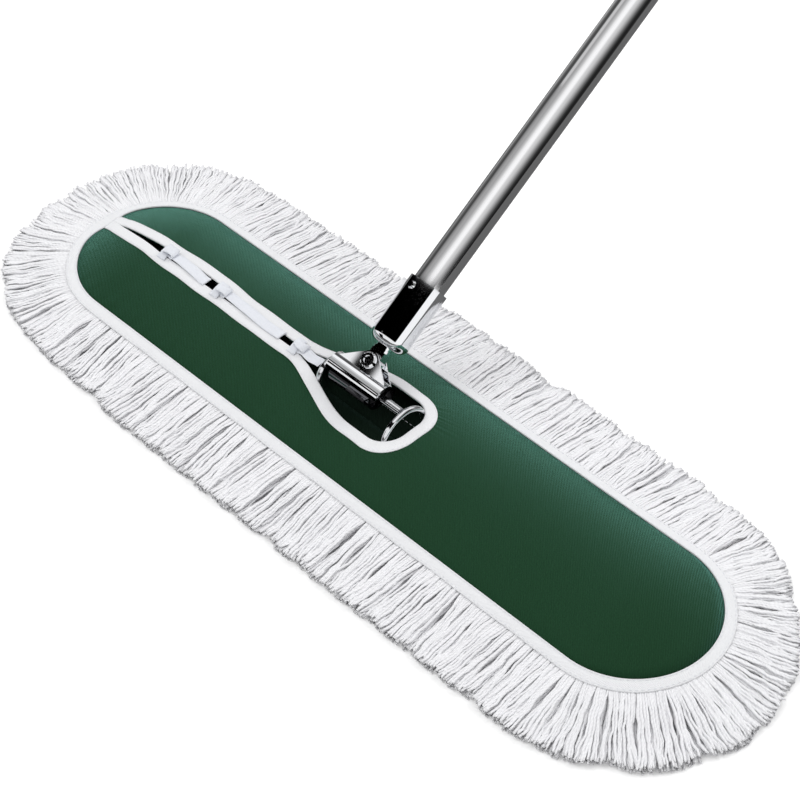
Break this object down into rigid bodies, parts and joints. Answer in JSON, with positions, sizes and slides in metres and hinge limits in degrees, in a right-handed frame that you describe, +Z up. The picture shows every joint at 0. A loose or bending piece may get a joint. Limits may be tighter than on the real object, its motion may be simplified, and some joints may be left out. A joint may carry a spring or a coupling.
{
  "type": "dust mop",
  "caption": "Flat dust mop with a green canvas pad, white yarn fringe, wire frame and a chrome swivel clip on a tube handle.",
  "frame": {"origin": "middle of the pad on the floor, under the yarn sole", "axes": "+X along the mop head, +Y the way the handle leans back, +Z up"},
  "size_m": [0.7309, 1.1707, 0.7428],
  "materials": {
    "yarn": "matte",
    "canvas": "matte",
    "tape": "matte",
    "wire": "polished",
    "clip_chrome": "polished",
    "tube_chrome": "polished",
    "spring_steel": "satin",
    "nylon": "matte",
    "grip_rubber": "matte"
  },
  "bodies": {
    "mop_head": {"yarn_sole": "yarn", "yarn_fringe": "yarn", "base_panel": "canvas", "pad_cover": "canvas", "hem_tape": "tape", "slit_binding": "tape", "tie_left": "tape", "tie_middle": "tape", "tie_right": "tape", "frame_loop": "wire", "cross_wire_left": "wire", "cross_wire_right": "wire", "axle_rod": "wire"},
    "clip": {"clip_saddle": "clip_chrome", "rod_bearing": "nylon", "swivel_rivet": "clip_chrome", "washer_front": "spring_steel", "washer_back": "spring_steel", "hinge_pin": "spring_steel", "gate_spring": "spring_steel"},
    "gate": {"clip_gate": "clip_chrome", "gate_pad": "nylon"},
    "handle": {"swivel_yoke": "clip_chrome", "handle_socket": "tube_chrome", "socket_screw": "spring_steel", "handle_tube": "tube_chrome", "hand_grip": "grip_rubber", "hang_cap": "grip_rubber"}
  },
  "joints": [
    {"name": "clip_roll", "type": "hinge", "parent": "mop_head", "child": "clip", "pos_m": [-0.02, 0, 0.042], "axis": [1, 0, 0], "range_deg": [-23.5, 135.5]},
    {"name": "gate_hinge", "type": "hinge", "parent": "clip", "child": "gate", "pos_m": [-0.02, 0.01088, 0.03257], "axis": [1, 0, 0], "range_deg": [0, 28], "stiffness_Nm_per_rad": 0.2},
    {"name": "handle_swivel", "type": "hinge", "parent": "clip", "child": "handle", "pos_m": [-0.02, 0.01371, 0.05118], "axis": [0, 0.5563, -0.831], "range_deg": [-60, 60]}
  ]
}
